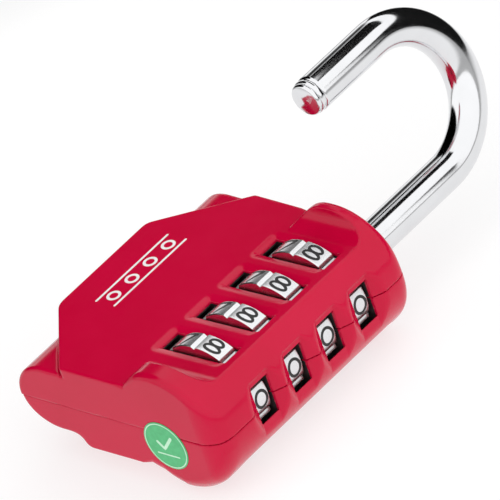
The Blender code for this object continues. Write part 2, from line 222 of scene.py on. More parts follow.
# Studio
DARK_SCREEN = (-0.85, 0.0, 0.52)
DARK_FROM = 0.78
DARK_TO = 0.83
DOME_STRENGTH = 1.25
FLOOR_FADE = {"From Min": 0.11, "From Max": 0.2, "To Min": 0.7, "To Max": 0.1}
FLOOR_HALF_SIZE = 3
FLOOR_DROP = 0.0002
FLAGS = {
    "flag_above": ((-0.06, 0.06, 0.11), (0.03, 0.06, 0.11), (0.03, 0.1, 0.11), (-0.06, 0.1, 0.11)),
    "flag_behind": ((-0.15, 0.15, 0.0), (0.2, 0.15, 0.0), (0.2, 0.15, 0.11), (-0.15, 0.15, 0.11)),
}
FLAG_BLACK = (0.005, 0.005, 0.005)
CAMERA_PLACE = (1.10408, -0.89933, 0.91828)
CAMERA_RIGHT = (0.73266, 0.61756, -0.28605)
CAMERA_BACK = (0.65668, -0.53101, 0.53554)
CAMERA_LENS = 803.07

# The front half's box starts 0.15 mm above the parting plane, which is the lock's own Z of 0.
front_low, front_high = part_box("front_shell")
ORIGIN = Vector((front_low.x, front_high.y - CASE_HEIGHT * MM, front_low.z - 0.15 * MM))


def to_world(point):
    return ORIGIN + Vector(point) * MM


def dial_y(index):
    return DIAL_FIRST_Y + index * DIAL_PITCH


# --- Materials ---------------------------------------------------------------------------------------------


def new_material(name, colour, **settings):
    """A Principled material with its constants set on the shader, and the node tree to add detail to."""
    material = bpy.data.materials.new(name)
    material.use_nodes = True
    shader = material.node_tree.nodes["Principled BSDF"]
    shader.inputs["Base Color"].default_value = (*colour, 1)
    for socket, value in settings.items():
        shader.inputs[socket.replace("_", " ")].default_value = value
    material.diffuse_color = (*colour, 1)
    return material, shader, material.node_tree


def noise_node(tree, scale, detail=4, stretch=(1, 1, 1)):
    """Noise in object space, in features per metre, stretched along an axis where that axis is under 1."""
    place = tree.nodes.new("ShaderNodeTexCoord")
    mapping = tree.nodes.new("ShaderNodeMapping")
    mapping.inputs["Scale"].default_value = stretch
    noise = tree.nodes.new("ShaderNodeTexNoise")
    noise.inputs["Scale"].default_value = scale
    noise.inputs["Detail"].default_value = detail
    tree.links.new(place.outputs["Object"], mapping.inputs["Vector"])
    tree.links.new(mapping.outputs["Vector"], noise.inputs["Vector"])
    return noise


def vary_colour(tree, shader, noise, dark, light):
    ramp = tree.nodes.new("ShaderNodeValToRGB")
    ramp.color_ramp.elements[0].position = 0.3
    ramp.color_ramp.elements[1].position = 0.7
    ramp.color_ramp.elements[0].color = (*dark, 1)
    ramp.color_ramp.elements[1].color = (*light, 1)
    tree.links.new(noise.outputs["Fac"], ramp.inputs["Fac"])
    tree.links.new(ramp.outputs["Color"], shader.inputs["Base Color"])


def vary_roughness(tree, shader, noise, low, high):
    spread = tree.nodes.new("ShaderNodeMapRange")
    spread.inputs["To Min"].default_value = low
    spread.inputs["To Max"].default_value = high
    tree.links.new(noise.outputs["Fac"], spread.inputs["Value"])
    tree.links.new(spread.outputs["Result"], shader.inputs["Roughness"])


def add_bump(tree, shader, noise, strength, distance):
    bump = tree.nodes.new("ShaderNodeBump")
    bump.inputs["Strength"].default_value = strength
    bump.inputs["Distance"].default_value = distance
    tree.links.new(noise.outputs["Fac"], bump.inputs["Height"])
    tree.links.new(bump.outputs["Normal"], shader.inputs["Normal"])


def red_paint():
    """Thick glossy enamel, with a faint orange peel and slightly uneven depth of colour."""
    colour = (0.55, 0.0015, 0.038)
    settings = {"Coat_Weight": 0.08, "Coat_Roughness": 0.03, "Specular_IOR_Level": 0.2}
    material, shader, tree = new_material("red_enamel", colour, **settings)
    vary_colour(tree, shader, noise_node(tree, 90), (0.53, 0.001, 0.034), (0.57, 0.002, 0.041))
    vary_roughness(tree, shader, noise_node(tree, 400), 0.12, 0.18)
    add_bump(tree, shader, noise_node(tree, 350, 1), 0.02, 0.00004)
    return material


def chrome(name, low, high, streak=(1, 1, 1)):
    """Polished plating with a little haze, and fine marks running along the piece."""
    material, shader, tree = new_material(name, (0.75, 0.755, 0.77), Metallic=1.0)
    vary_colour(tree, shader, noise_node(tree, 200), (0.73, 0.735, 0.75), (0.77, 0.775, 0.79))
    vary_roughness(tree, shader, noise_node(tree, 900, 6, streak), low, high)
    add_bump(tree, shader, noise_node(tree, 1500, 3, streak), 0.03, 0.00005)
    return material


def worked_metal(name, dark, light, low, high, grain=(1, 1, 1)):
    """Unplated metal with a fine grain from casting or turning."""
    material, shader, tree = new_material(name, light, Metallic=1.0)
    vary_colour(tree, shader, noise_node(tree, 300, 5, grain), dark, light)
    vary_roughness(tree, shader, noise_node(tree, 900, 5, grain), low, high)
    add_bump(tree, shader, noise_node(tree, 2500, 5, grain), 0.15, 0.00005)
    return material


def printed(name, dark, light, roughness):
    """Printing ink or enamel, slightly uneven in tone; also the flat near-black painted shade inside the
    case.
    """
    material, shader, tree = new_material(name, light)
    vary_colour(tree, shader, noise_node(tree, 1200), dark, light)
    vary_roughness(tree, shader, noise_node(tree, 2500), roughness, roughness + 0.1)
    return material


MATERIALS = {
    "red_paint": red_paint(),
    # The inside of the case has no red enamel. Its near-black colour is painted shade, standing in for the
    # shadow inside the hollow case.
    "inside_painted_shade": printed("painted_shade_black", (0.010, 0.008, 0.008), (0.022, 0.014, 0.014), 0.5),
    "chrome": chrome("chrome_bar", 0.07, 0.13, (1, 0.1, 1)),
    "dial_chrome": chrome("chrome_dial", 0.2, 0.3),
    "zinc": worked_metal("zinc_cast", (0.38, 0.39, 0.41), (0.58, 0.59, 0.61), 0.3, 0.45),
    "spring_steel": worked_metal("steel_spring", (0.30, 0.31, 0.33), (0.45, 0.46, 0.48), 0.22, 0.35),
    "brass": worked_metal("brass_turned", (0.60, 0.40, 0.13), (0.78, 0.57, 0.24), 0.2, 0.35, (1, 6, 1)),
    "green_sticker": printed("green_foil", (0.05, 0.42, 0.15), (0.07, 0.50, 0.19), 0.3),
    "pale_print": printed("pale_ink", (0.48, 0.80, 0.56), (0.56, 0.86, 0.63), 0.35),
    "white_print": printed("white_ink", (0.80, 0.78, 0.78), (0.90, 0.88, 0.88), 0.3),
    "black_enamel": printed("black_enamel", (0.004, 0.004, 0.004), (0.009, 0.009, 0.010), 0.28),
}


# --- Pieces ------------------------------------------------------------------------------------------------


def place_piece(name, vertices, faces, material, body, stands_for=None, sharp_deg=30):
    """A mesh object from lock millimetres, smooth apart from edges sharper than sharp_deg."""
    mesh = bpy.data.meshes.new(name)
    mesh.from_pydata([to_world(vertex) for vertex in vertices], [], faces)
    mesh.materials.append(MATERIALS[material])
    mesh.shade_smooth()
    if sharp_deg:
        mesh.set_sharp_from_angle(angle=math.radians(sharp_deg))
    obj = bpy.data.objects.new(name, mesh)
    bpy.context.scene.collection.objects.link(obj)
    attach(obj, body)
    if stands_for:
        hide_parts(stands_for)
    return obj


# --- Signed distance field of the case ---------------------------------------------------------------------


def common_round(first, second, radius):
    """Intersection of two fields whose shared edge is rounded."""
    reach = np.hypot(np.maximum(radius + first, 0), np.maximum(radius + second, 0))
    return np.minimum(-radius, np.maximum(first, second)) + reach


def common_soft(first, second, width):
    """Intersection of two fields whose shared edge is blended at any angle."""
    overlap = np.maximum(width - np.abs(first - second), 0)
    return np.maximum(first, second) + overlap * overlap / (4 * width)


def join_soft(first, second, width):
    return -common_soft(-first, -second, width)


def cylinder_y(x, y, z, centre_x, radius, low_y, high_y):
    return np.maximum(np.hypot(x - centre_x, z) - radius, np.maximum(low_y - y, y - high_y))


def box_field(x, y, z, low, high):
    found = -np.inf
    for value, least, most in zip((x, y, z), low, high):
        found = np.maximum(found, np.maximum(least - value, value - most))
    return found


def hexagon_field(x, y):
    """The raised field seen from the front: its left end is cut to a point between two slanted sides."""
    found = -x
    for start, end in FIELD_SLANTS:
        along = (end[0] - start[0], end[1] - start[1])
        length = math.hypot(*along)
        outward = (-along[1] / length, along[0] / length)
        distance = (x - start[0]) * outward[0] + (y - start[1]) * outward[1]
        found = common_soft(found, distance, FIELD_CORNER)
    return found


def plan_field(x, y):
    """The case seen from the front, a rectangle with its own radius at each corner."""
    left = -PLAN_OVERREACH
    right = CASE_WIDTH + PLAN_OVERREACH
    low_y = LOW_END["at_x0"] + LOW_END["slope"] * x
    high_y = HIGH_END["at_x0"] + HIGH_END["slope"] * np.minimum(x, BARREL_X)
    names = ("bottom_left", "bottom_right", "top_left", "top_right")
    radii = np.array([PLAN_CORNERS[name] for name in names])
    corner = (x > CASE_WIDTH / 2).astype(int) + 2 * (y > CASE_HEIGHT / 2).astype(int)
    radius = radii[corner]
    side = np.maximum(left - x, x - right) + radius
    end = np.maximum(low_y - y, y - high_y) + radius
    outside = np.hypot(np.maximum(side, 0), np.maximum(end, 0))
    return outside + np.minimum(np.maximum(side, end), 0) - radius


def dish_depth(x, y):
    """How far the recess floor dips around each slot for a fingertip."""
    depth = np.zeros(np.broadcast(x, y).shape)
    middle_x = (DISH_X[0] + DISH_X[1]) / 2
    half_x = (DISH_X[1] - DISH_X[0]) / 2
    for index in range(DIAL_COUNT):
        away_x = np.maximum(np.abs(x - middle_x) - half_x, 0)
        away_y = np.maximum(np.abs(y - dial_y(index)) - POCKET_HALF_WIDTH, 0)
        share = np.clip(1 - np.hypot(away_x, away_y) / DISH_REACH, 0, 1)
        depth = np.maximum(depth, DISH_DEPTH * share**DISH_FALL)
    return depth


def recess_field(y, z, floor_z):
    """The dial recess: a flat floor with a quarter-round scoop at each end."""
    scoop = BARREL_RADIUS - floor_z
    middle = (RECESS_Y[0] + RECESS_Y[1]) / 2
    past_end = np.maximum(np.abs(y - middle) - (RECESS_Y[1] - RECESS_Y[0]) / 2, 0)
    return np.hypot(past_end, np.minimum(z - BARREL_RADIUS, 0)) - scoop


def channel_field(x, y, z):
    """The hollows in the barrel's side that let a fingertip reach the dials through their windows."""
    found = np.full(np.broadcast(x, y, z).shape, np.inf)
    for index in range(DIAL_COUNT):
        slope = CHANNEL_X + (np.abs(y - dial_y(index)) - POCKET_HALF_WIDTH) / CHANNEL_SPREAD - x
        bed = np.maximum(CHANNEL_X - x, slope * CHANNEL_LEAN)
        ends = np.maximum(z - CHANNEL_Z[1], CHANNEL_Z[0] - z)
        found = np.minimum(found, common_round(bed, ends, CHANNEL_EDGE))
    return found


def end_edge(x, barrel_edge):
    """The radius of the edge round the end faces, which grows from the flat field towards the barrel."""
    flat = np.interp(x, SHOULDER_EDGE_X, (SHOULDER_END_EDGE, PLATEAU_END_EDGE))
    share = np.interp(x, BARREL_EDGE_X, (0, 1))
    return flat + share * (barrel_edge - flat)


def outer_field(x, y, z, half):
    """One half of the case as a solid, with z counted away from the parting plane."""
    dish = dish_depth(x, y) if half["side"] > 0 else 0
    raised = z + dish
    hexagon = hexagon_field(x, y)
    reach = np.minimum(x - SHOULDER_REACH, 0) / SHOULDER_REACH
    flank = (np.hypot(reach, z / half["shoulder"]) - 1) * half["shoulder"]
    plateau = common_round(hexagon, raised - half["plateau"], half["plateau_edge"])
    if half["grooved"]:
        low = (np.hypot(reach, z / (half["shoulder"] - GROOVE_DEPTH)) - 1) * half["shoulder"]
        shoulder = common_round(flank, SHOULDER_GROOVE - hexagon, SHOULDER_EDGE)
        body = np.minimum(np.minimum(low, shoulder), plateau)
    else:
        body = join_soft(flank, plateau, BACK_BLEND)
    body = np.maximum(body, x - BARREL_X)
    barrel = np.hypot(x - BARREL_X, z) - BARREL_RADIUS
    ramp = (z - half["plateau"] - RAMP_LIFT - (x - RAMP_X)) * math.sqrt(0.5)
    barrel = common_soft(barrel, ramp, RAMP_BLEND)
    barrel = common_round(barrel, -recess_field(y, raised, half["plateau"]), RECESS_EDGE)
    solid = np.minimum(body, barrel)
    solid = common_round(solid, -channel_field(x, y, half["side"] * z), CHANNEL_EDGE)
    plan = plan_field(x, y) + half["inset"] * (x < BARREL_X)
    edges = []
    for deep_edge, flank_edge in zip(half["end_edges"], FRONT["end_edges"]):
        edges.append(end_edge(x, np.interp(z, EDGE_DEPTH, (flank_edge, deep_edge))))
    return common_round(solid, plan, np.where(y < CASE_HEIGHT / 2, *edges))


def cavity_field(x, y, z):
    """Everything that is hollowed out of both halves."""
    found = box_field(x, y, z, HOLLOW_LOW, HOLLOW_HIGH)
    bores = [
        (BARREL_X, CORE_RADIUS, *CORE_Y),
        (BARREL_X, HOLE_RADIUS, SPRING_SEAT_Y, CORE_Y[0] + 1),
        (BARREL_X, HOLE_RADIUS, CORE_Y[1] - 1, CASE_HEIGHT + 2),
        (BARREL_X, BUSH_SEAT_RADIUS, CORE_Y[1] - 1, BUSH_TOP_Y),
        (BARREL_X - 2 * ARCH_RADIUS, HOLE_RADIUS, CASE_HEIGHT - TOE_HOLE_DEPTH, CASE_HEIGHT + 2),
    ]
    for centre_x, radius, low_y, high_y in bores:
        found = np.minimum(found, cylinder_y(x, y, z, centre_x, radius, low_y, high_y))
    for index in range(DIAL_COUNT):
        low_y = dial_y(index) - POCKET_HALF_WIDTH
        high_y = dial_y(index) + POCKET_HALF_WIDTH
        pocket = cylinder_y(x, y, z, BARREL_X, POCKET_RADIUS, low_y, high_y)
        under_floor = np.abs(z) - SLOT_DEPTH_Z
        slot = np.maximum(SLOT_X[0] - x, x - SLOT_X[1])
        found = np.minimum(found, np.maximum(pocket, np.minimum(under_floor, slot)))
        window_low = (WINDOW_X, low_y, WINDOW_Z[0])
        window_high = (CASE_WIDTH + 1, high_y, WINDOW_Z[1])
        found = np.minimum(found, box_field(x, y, z, window_low, window_high))
    for centre_x, centre_y in PIN_PLACES:
        hole = np.hypot(x - centre_x, y - centre_y) - PIN_HOLE_RADIUS
        found = np.minimum(found, np.maximum(hole, np.abs(z) - PIN_HOLE_HALF_LENGTH))
    return found


def half_case_field(x, y, z, half):
    """The finished half, in true lock coordinates."""
    solid = common_round(outer_field(x, y, half["side"] * z, half), -cavity_field(x, y, z), SLOT_EDGE)
    return common_round(solid, PARTING_HALF_GAP - half["side"] * z, PARTING_EDGE)


def surface_net(field, axes):
    """Vertices and quads of the zero surface: one vertex in each grid cell that the surface crosses."""
    cells = tuple(size - 1 for size in field.shape)
    total = np.zeros((*cells, 3), np.float32)
    count = np.zeros(cells, np.int32)
    crossings = []
    for axis in range(3):
        below = [slice(None)] * 3
        above = [slice(None)] * 3
        below[axis] = slice(None, -1)
        above[axis] = slice(1, None)
        low, high = field[tuple(below)], field[tuple(above)]
        where = np.argwhere((low < 0) != (high < 0))
        first = low[tuple(where.T)]
        share = first / (first - high[tuple(where.T)])
        points = np.stack([axes[i][where[:, i]] for i in range(3)], 1)
        points[:, axis] += share * (axes[axis][where[:, axis] + 1] - axes[axis][where[:, axis]])
        others = [i for i in range(3) if i != axis]
        around = []
        for step_a, step_b in ((-1, -1), (0, -1), (0, 0), (-1, 0)):
            cell = where.copy()
            cell[:, others[0]] += step_a
            cell[:, others[1]] += step_b
            np.add.at(total, tuple(cell.T), points)
            np.add.at(count, tuple(cell.T), 1)
            around.append(np.ravel_multi_index(tuple(cell.T), cells))
        flip = (first < 0) == (axis == 1)
        crossings.append((np.stack(around, 1), flip))
    active = np.flatnonzero(count)
    index = np.full(count.size, -1)
    index[active] = np.arange(len(active))
    vertices = total.reshape(-1, 3)[active] / count.reshape(-1)[active, None]
    quads = []
    for around, flip in crossings:
        quad = index[around]
        quad[flip] = quad[flip][:, ::-1]
        quads.append(quad)
    return vertices.astype(np.float64), np.concatenate(quads)


def slope_of(field, points, step=0.01):
    """The field's gradient at the points."""
    found = np.empty_like(points)
    for axis in range(3):
        shift = np.zeros(3)
        shift[axis] = step
        ahead = field(*(points + shift).T)
        behind = field(*(points - shift).T)
        found[:, axis] = (ahead - behind) / (2 * step)
    return found


def grid_axis(*spans):
    """Grid lines over spans of (start, end, step) that follow on from each other."""
    lines = [np.arange(start, end - step / 2, step) for start, end, step in spans]
    return np.append(np.concatenate(lines), spans[-1][1])


def make_half_case(name, half):
    """The shell of one half, drawn from its field and pulled exactly onto the surface."""
    xs = grid_axis(*GRID_X)
    ys = grid_axis(*GRID_Y)
    zs = np.sort(half["side"] * grid_axis(*GRID_Z))

    def field(x, y, z):
        return half_case_field(x, y, z, half)

    values = field(xs[:, None, None], ys[None, :, None], zs[None, None, :])
    vertices, quads = surface_net(values, (xs, ys, zs))
    for _ in range(4):
        slope = slope_of(field, vertices)
        square = np.maximum((slope * slope).sum(1), 0.25)
        step = -(field(*vertices.T) / square)[:, None] * slope
        vertices += np.clip(step, -0.08, 0.08)
    normals = slope_of(field, vertices, 0.04)
    normals /= np.linalg.norm(normals, axis=1)[:, None]
    shell = place_piece(
        name + "_enamelled",
        vertices.tolist(),
        quads.tolist(),
        material="red_paint",
        body="housing",
        stands_for=name,
        sharp_deg=None,
    )
    # Faces deeper inside the openings than PAINT_REACH get the near-black painted shade. Nearer faces and the
    # parting face keep the red enamel.
    shell.data.materials.append(MATERIALS["inside_painted_shade"])
    middles = vertices[quads].mean(1)
    depth = -outer_field(middles[:, 0], middles[:, 1], half["side"] * middles[:, 2], half)
    parted = half["side"] * middles[:, 2] < 2 * PARTING_HALF_GAP
    inside = (depth > PAINT_REACH) & ~(parted & (depth < 2 * PAINT_REACH))
    shell.data.polygons.foreach_set("material_index", inside.astype(np.int32))
    shell.data.normals_split_custom_set_from_vertices(normals.tolist())


# --- Dials -------------------------------------------------------------------------------------------------


def pad_radius(angle_deg):
    """The dial's rim at an angle: slightly crowned pads, with shallow V grooves between them."""
    away = abs((angle_deg + PAD_STEP_DEG / 2) % PAD_STEP_DEG - PAD_STEP_DEG / 2)
    if away <= PAD_HALF_DEG:
        return DIAL_RADIUS - DIAL_CROWN * (away / PAD_HALF_DEG) ** 2
    share = (away - PAD_HALF_DEG) / (PAD_STEP_DEG / 2 - PAD_HALF_DEG)
    edge = DIAL_RADIUS - DIAL_CROWN
    return edge + (GROOVE_RADIUS - edge) * share


def bore_radius(angle):
    """The ring's bore, with its key slot facing away from +X."""
    across = abs(math.sin(angle)) * KEY_RADIUS
    return KEY_RADIUS if math.cos(angle) < 0 and across < KEY_HALF_WIDTH else RING_BORE


def around_barrel(radius, angle, y):
    return (BARREL_X + radius * math.cos(angle), y, radius * math.sin(angle))


def make_dial(index):
    """A numbered ring: chamfered pads outside and a keyed bore inside."""
    angles = [pad * PAD_STEP_DEG + offset for pad in range(DIGIT_COUNT) for offset in PAD_OFFSETS_DEG]
    middle = dial_y(index)
    inner = DIAL_HALF_WIDTH - DIAL_CHAMFER
    rings = [
        (-DIAL_HALF_WIDTH, None),
        (-DIAL_HALF_WIDTH, DIAL_CHAMFER),
        (-inner, 0),
        (inner, 0),
        (DIAL_HALF_WIDTH, DIAL_CHAMFER),
        (DIAL_HALF_WIDTH, None),
    ]
    vertices = []
    for offset_y, chamfer in rings:
        for angle_deg in angles:
            angle = math.radians(angle_deg)
            radius = bore_radius(angle) if chamfer is None else pad_radius(angle_deg) - chamfer
            vertices.append(around_barrel(radius, angle, middle + offset_y))
    count = len(angles)
    faces = []
    for ring in range(len(rings)):
        following = (ring + 1) % len(rings)
        low, high = ring * count, following * count
        for step in range(count):
            after = (step + 1) % count
            faces.append((low + step, high + step, high + after, low + after))
    number = index + 1
    place_piece(
        f"dial_ring_{number}",
        vertices,
        faces,
        material="dial_chrome",
        body=f"dial_{number}",
        stands_for=f"dial_wheel_{number}",
        sharp_deg=14,
    )


def arc(centre, radii, start_deg, end_deg, count=14):
    """Points along part of an ellipse, both ends included."""
    points = []
    for step in range(count + 1):
        angle = math.radians(start_deg + (end_deg - start_deg) * step / count)
        points.append((centre[0] + radii[0] * math.cos(angle), centre[1] + radii[1] * math.sin(angle)))
    return points


def loop(centre, radii, count=32):
    return arc(centre, radii, 0, 360, count)[:-1]


def digit_strokes(digit):
    """The strokes of a numeral as (points, closed), with x to the reader's right and y up."""
    wide, high = DIGIT_HALF_WIDTH, DIGIT_HALF_HEIGHT
    narrow = wide * 0.85
    bowl = high * 0.58
    hook = arc((0, high * 0.45), (narrow, high * 0.55), 165, -30)
    belly = arc((0, -high * 0.35), (wide, high * 0.65), 145, -150)
    stem_x, bar_y = wide * 0.4, -high * 0.4
    drawn = {
        0: [(loop((0, 0), (wide, high)), True)],
        1: [([(-wide * 0.5, high * 0.6), (0.05, high), (0.05, -high)], False)],
        2: [(hook + [(-wide, -high), (wide, -high)], False)],
        3: [
            (arc((0, high / 2), (narrow, high / 2), 150, -90), False),
            (arc((0, -high / 2), (wide, high / 2), 90, -150), False),
        ],
        4: [([(stem_x, -high), (stem_x, high), (-wide, bar_y), (wide, bar_y)], False)],
        5: [([(narrow, high), (-wide * 0.7, high)] + belly, False)],
        6: [
            (loop((0, bowl - high), (wide, bowl)), True),
            (arc((wide * 0.65, bowl - high), (wide * 1.65, 2 * high - bowl), 100, 180, 10), False),
        ],
        7: [([(-wide, high), (wide, high), (-wide * 0.2, -high)], False)],
        8: [
            (loop((0, high / 2), (narrow, high / 2)), True),
            (loop((0, -high / 2), (wide, high / 2)), True),
        ],
    }
    if digit == 9:
        return [([(-x, -y) for x, y in points], closed) for points, closed in drawn[6]]
    return drawn[digit]


def refined(points, closed, step=0.3):
    """The same line with no stretch longer than step, so that it can follow a curved surface."""
    found = []
    ends = points[1:] + ([points[0]] if closed else [])
    for start, end in zip(points, ends):
        pieces = max(1, math.ceil(math.dist(start, end) / step))
        for piece in range(pieces):
            share = piece / pieces
            found.append((start[0] + (end[0] - start[0]) * share, start[1] + (end[1] - start[1]) * share))
    if not closed:
        found.append(points[-1])
    return found


def stroke_mesh(points, closed, half_width, lay):
    """A flat stroke with round ends, closed below. lay turns (x, y, height) into a place on the surface."""
    line = refined(points, closed)
    count = len(line)
    left, right = [], []
    for step, (x, y) in enumerate(line):
        before = line[step - 1] if step or closed else line[0]
        after = line[(step + 1) % count] if step < count - 1 or closed else line[-1]
        length = math.dist(before, after)
        normal = (-(after[1] - before[1]) / length, (after[0] - before[0]) / length)
        left.append((x + normal[0] * half_width, y + normal[1] * half_width))
        right.append((x - normal[0] * half_width, y - normal[1] * half_width))
    if closed:
        outlines = [left, right]
    else:
        caps = []
        for end, near in ((line[-1], left[-1]), (line[0], right[0])):
            start = math.degrees(math.atan2(near[1] - end[1], near[0] - end[0]))
            caps.append(arc(end, (half_width, half_width), start, start - 180, 8)[1:-1])
        outlines = [left + caps[0] + right[::-1] + caps[1]]
    vertices, faces = [], []
    flat = []
    for height in (DIGIT_RAISE, -PRINT_DEPTH):
        starts = []
        for outline in outlines:
            starts.append(len(vertices))
            vertices += [lay(x, y, height) for x, y in outline]
        flat.append(starts)
    for outline, upper, lower in zip(outlines, *flat):
        size = len(outline)
        for step in range(size):
            after = (step + 1) % size
            faces.append((upper + step, lower + step, lower + after, upper + after))
    for starts in flat:
        if closed:
            for step in range(count):
                after = (step + 1) % count
                faces.append((starts[0] + step, starts[0] + after, starts[1] + after, starts[1] + step))
        else:
            rights = starts[0] + count + len(caps[0])
            for step in range(count - 1):
                first, second = rights + count - 1 - step, rights + count - 2 - step
                faces.append((starts[0] + step, starts[0] + step + 1, second, first))
            faces.append(tuple(starts[0] + count - 1 + k for k in range(len(caps[0]) + 2)))
            tail = [rights + count - 1 + k for k in range(len(caps[1]) + 1)]
            faces.append((*tail, starts[0]))
    return vertices, faces


def ringed_faces(rings, sides):
    """The faces of rings of vertices that follow on from each other, with a cap at each end."""
    faces = []
    for ring in range(rings - 1):
        low, high = ring * sides, (ring + 1) * sides
        for side in range(sides):
            after = (side + 1) % sides
            faces.append((low + side, low + after, high + after, high + side))
    faces.append(tuple(range(sides)))
    faces.append(tuple(range((rings - 1) * sides, rings * sides)))
    return faces


def gather(parts):
    """Several (vertices, faces) as one, with every face turned to point out."""
    shape = bmesh.new()
    for vertices, faces in parts:
        made = [shape.verts.new(vertex) for vertex in vertices]
        for face in faces:
            shape.faces.new([made[corner] for corner in face])
    bmesh.ops.recalc_face_normals(shape, faces=shape.faces)
    shape.verts.index_update()
    vertices = [tuple(vertex.co) for vertex in shape.verts]
    faces = [tuple(vertex.index for vertex in face.verts) for face in shape.faces]
    shape.free()
    return vertices, faces


def make_digits(index):
    """The ten black numerals of one dial, laid on its pads."""
    middle = dial_y(index)
    parts = []
    for digit in range(DIGIT_COUNT):
        pad_deg = (DIGIT_COUNT - digit) % DIGIT_COUNT * PAD_STEP_DEG

        def lay(x, y, height, pad_deg=pad_deg):
            angle_deg = pad_deg - math.degrees(x / DIAL_RADIUS)
            radius = pad_radius(angle_deg) + height
            return around_barrel(radius, math.radians(angle_deg), middle + y)

        for points, closed in digit_strokes(digit):
            parts.append(stroke_mesh(points, closed, DIGIT_STROKE, lay))
    vertices, faces = gather(parts)
    number = index + 1
    place_piece(f"dial_digits_{number}", vertices, faces, "black_enamel", f"dial_{number}")


# --- Shackle -----------------------------------------------------------------------------------------------


def shackle_place(across, y, beside=0):
    """A point of the swung shackle: across from the long leg, along the lock, and beside the bow's plane."""
    x = BARREL_X + across * math.cos(SWING) + beside * math.sin(SWING)
    z = -across * math.sin(SWING) + beside * math.cos(SWING)
    return (x, y, z)


def shackle_stations():
    """(across, y, heading, radius) of each ring of the bar, from inside the spring bore round to the toe."""
    stations = [
        (0, SPRING_BORE_TOP, 0, 0.02),
        (0, SPRING_BORE_TOP, 0, SPRING_BORE),
        (0, LEG_BOTTOM_Y + BORE_RIM, 0, SPRING_BORE),
        (0, LEG_BOTTOM_Y, 0, SPRING_BORE + BORE_RIM),
        (0, LEG_BOTTOM_Y, 0, SHACKLE_RADIUS - RIM),
        (0, LEG_BOTTOM_Y + RIM, 0, SHACKLE_RADIUS),
    ]
    for y in np.linspace(LEG_BOTTOM_Y + 2, ARCH_CENTRE_Y - 1, 18):
        stations.append((0, float(y), 0, SHACKLE_RADIUS))
    for step in range(BEND_STEPS + 1):
        heading = math.pi * step / BEND_STEPS
        across = -ARCH_RADIUS + ARCH_RADIUS * math.cos(heading)
        stations.append((across, ARCH_CENTRE_Y + ARCH_RADIUS * math.sin(heading), heading, SHACKLE_RADIUS))
    for y in np.linspace(ARCH_CENTRE_Y - 1, TOE_Y + 2.3, 6):
        stations.append((-2 * ARCH_RADIUS, float(y), math.pi, SHACKLE_RADIUS))
    for from_tip, radius in TOE_PROFILE:
        stations.append((-2 * ARCH_RADIUS, TOE_Y + from_tip, math.pi, radius))
    return stations


def fin_box(middle_y, inner):
    """One of the fins that the dial sleeves stop."""
    vertices = []
    for across in (inner, FIN_REACH):
        for y in (middle_y - FIN_HALF_LENGTH, middle_y + FIN_HALF_LENGTH):
            for beside in (-FIN_HALF_WIDTH, FIN_HALF_WIDTH):
                vertices.append(shackle_place(across, y, beside))
    faces = [(0, 1, 3, 2), (4, 6, 7, 5), (0, 4, 5, 1), (2, 3, 7, 6), (0, 2, 6, 4), (1, 5, 7, 3)]
    return vertices, faces


def make_shackle(sides=72):
    """The bent bar with its stepped toe, and the four fins on its long leg."""
    stations = shackle_stations()
    vertices = []
    for across, y, heading, radius in stations:
        for side in range(sides):
            turn = 2 * math.pi * side / sides
            out = radius * math.cos(turn)
            place = (across + out * math.cos(heading), y + out * math.sin(heading), radius * math.sin(turn))
            vertices.append(shackle_place(*place))
    parts = [(vertices, ringed_faces(len(stations), sides))]
    for index in range(DIAL_COUNT):
        middle_y = dial_y(index) + FIN_OFFSET_Y
        beside_bore = middle_y < SPRING_BORE_TOP + 1
        parts.append(fin_box(middle_y, FIN_INNER[0] if beside_bore else FIN_INNER[1]))
    vertices, faces = gather(parts)
    place_piece("shackle_bar", vertices, faces, "chrome", "shackle", "shackle", sharp_deg=50)


def make_spring(sides=10, steps_per_turn=24):
    """The lift spring, a coil with closed ends, drawn at one length; the real spring shortens as the shackle
    goes in.
    """
    low_y, high_y = SPRING_ENDS
    closed_pitch = 2 * SPRING_WIRE
    count = SPRING_TURNS * steps_per_turn
    open_pitch = (high_y - low_y - 2 * closed_pitch) / (SPRING_TURNS - 2)
    height = low_y
    vertices = []
    for step in range(count + 1):
        turn = step / steps_per_turn
        angle = 2 * math.pi * turn
        outward = (math.cos(angle), math.sin(angle))
        for side in range(sides):
            round_wire = 2 * math.pi * side / sides
            radius = SPRING_RADIUS + SPRING_WIRE * math.cos(round_wire)
            y = height + SPRING_WIRE * math.sin(round_wire)
            vertices.append((BARREL_X + radius * outward[0], y, radius * outward[1]))
        open_turn = 1 <= turn < SPRING_TURNS - 1
        height += (open_pitch if open_turn else closed_pitch) / steps_per_turn
    vertices, faces = gather([(vertices, ringed_faces(count + 1, sides))])
    spring = place_piece(
        "lift_coil",
        vertices,
        faces,
        material="spring_steel",
        body="housing",
        stands_for="lift_spring",
    )
    foot = to_world((BARREL_X, low_y - SPRING_WIRE, 0))
    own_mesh(spring)


# --- Sticker and front print -------------------------------------------------------------------------------


def on_low_end(x, y, height):
    """A place on the slanted bottom end, x to the right and y up as seen from below, height standing out."""
    lock_x = STICKER_PLACE[0] + x
    end_y = LOW_END["at_x0"] + LOW_END["slope"] * lock_x
    return (lock_x, end_y - height, STICKER_PLACE[1] + y)


